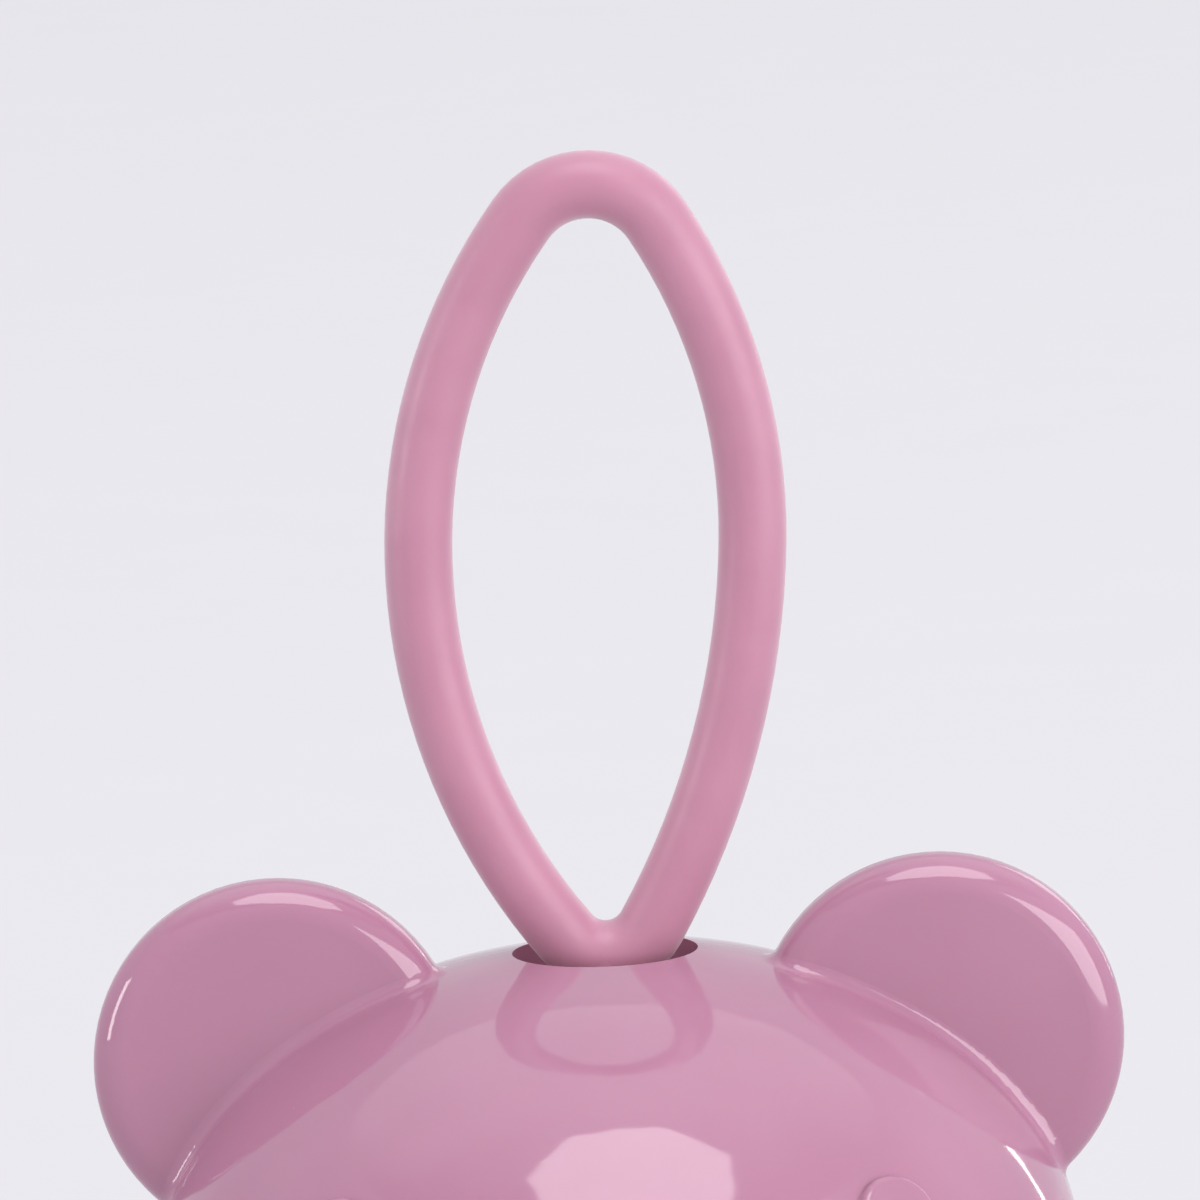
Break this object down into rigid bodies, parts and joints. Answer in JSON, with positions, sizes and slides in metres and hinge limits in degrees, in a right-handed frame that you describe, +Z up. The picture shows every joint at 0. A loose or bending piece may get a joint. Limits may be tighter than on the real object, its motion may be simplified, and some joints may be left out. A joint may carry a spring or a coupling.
{
  "type": "porcelain bell",
  "caption": "Round-eared bear-head porcelain bell on a soft pointed-oval hanging loop that swivels in a round well in its crown, with a wooden-bead clapper hung on links inside.",
  "frame": {"origin": "centre of the mouth, in the plane of the rim that the bell stands on", "axes": "+Z up along the hanging loop, X across the two ears, -Y is the front with the eyes"},
  "size_m": [0.0776, 0.0711, 0.1152],
  "materials": {
    "porcelain_glaze": "gloss",
    "loop_silicone": "matte",
    "stud_steel": "satin",
    "bush_nylon": "matte",
    "pad_silicone": "matte",
    "washer_steel": "satin",
    "nut_steel": "satin",
    "eye_steel": "satin",
    "link_steel": "satin",
    "rod_steel": "satin",
    "bead_wood": "satin",
    "collar_brass": "satin",
    "cap_brass": "satin"
  },
  "bodies": {
    "bell": {"bell_shell": "porcelain_glaze", "crown_bush": "bush_nylon", "crown_pad": "pad_silicone"},
    "swivel": {"hanging_loop": "loop_silicone", "loop_stud": "stud_steel", "crown_washer": "washer_steel", "crown_nut": "nut_steel", "clapper_eye": "eye_steel"},
    "link": {"link_ring": "link_steel"},
    "clapper": {"clapper_rod": "rod_steel", "clapper_bead": "bead_wood", "bead_collar": "collar_brass", "bead_cap": "cap_brass"}
  },
  "joints": [
    {"name": "loop_swivel", "type": "hinge", "parent": "bell", "child": "swivel", "pos_m": [0, 0, 0.05059], "axis": [0, 0, 1], "continuous": true},
    {"name": "link_swing", "type": "hinge", "parent": "swivel", "child": "link", "pos_m": [0, 0, 0.03639], "axis": [1, 0, 0], "range_deg": [-60, 60]},
    {"name": "clapper_swing", "type": "hinge", "parent": "link", "child": "clapper", "pos_m": [0, 0, 0.03224], "axis": [0, 1, 0], "range_deg": [-60, 60]}
  ]
}
